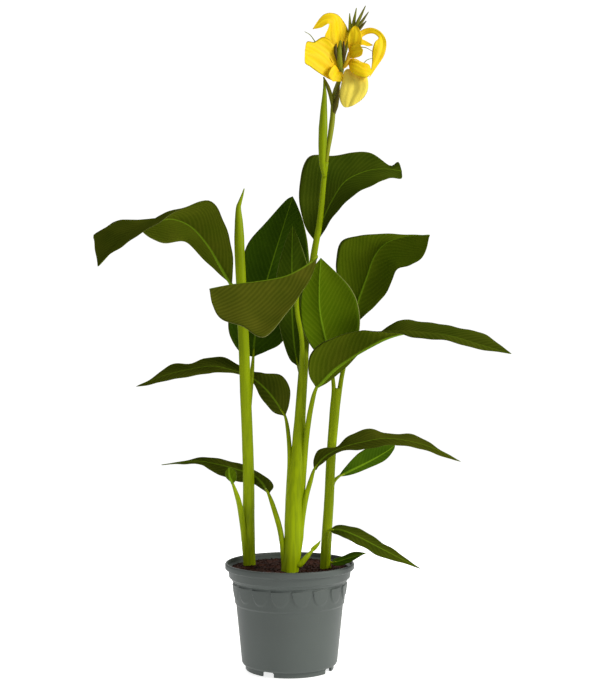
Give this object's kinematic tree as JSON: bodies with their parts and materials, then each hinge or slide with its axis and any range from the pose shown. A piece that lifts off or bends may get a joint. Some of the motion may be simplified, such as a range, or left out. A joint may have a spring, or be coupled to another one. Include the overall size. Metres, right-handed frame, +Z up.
{
  "type": "potted canna lily plant",
  "caption": "Young canna lily with broad green leaves and an opening yellow flower head, growing in soil in a round nursery pot.",
  "frame": {"origin": "on the pot's axis at the ground, under the foot ring", "axes": "+Z up along the pot's axis, -Y towards the viewer, +X to the viewer's right"},
  "size_m": [0.5425, 0.2792, 0.8725],
  "materials": {
    "pot_grey": "satin",
    "soil_brown": "matte",
    "rhizome_tan": "matte",
    "stem_green": "satin",
    "leaf_green": "satin",
    "bud_green": "satin",
    "petal_yellow": "satin"
  },
  "bodies": {
    "root": {"pot": "pot_grey", "soil": "soil_brown", "rhizome": "rhizome_tan", "stem_left": "stem_green", "stem_centre": "stem_green", "stem_right": "stem_green", "rolled_leaf": "stem_green", "flower_axis": "bud_green", "spathe": "stem_green", "buds": "bud_green", "bloom_left": "petal_yellow", "bloom_right": "petal_yellow", "leaf_upper_left": "leaf_green", "leaf_front": "leaf_green", "leaf_tall_left": "leaf_green", "leaf_tall_centre": "leaf_green", "leaf_top": "leaf_green", "leaf_upper_right": "leaf_green", "leaf_centre_right": "leaf_green", "leaf_long_right": "leaf_green", "leaf_mid_left": "leaf_green", "leaf_low_left": "leaf_green", "leaf_stub_left": "leaf_green", "leaf_low_right": "leaf_green", "leaf_back_right": "leaf_green", "leaf_lowest_right": "leaf_green", "leaf_rim_right": "leaf_green", "leaf_soil_shoot": "leaf_green"}
  },
  "joints": []
}
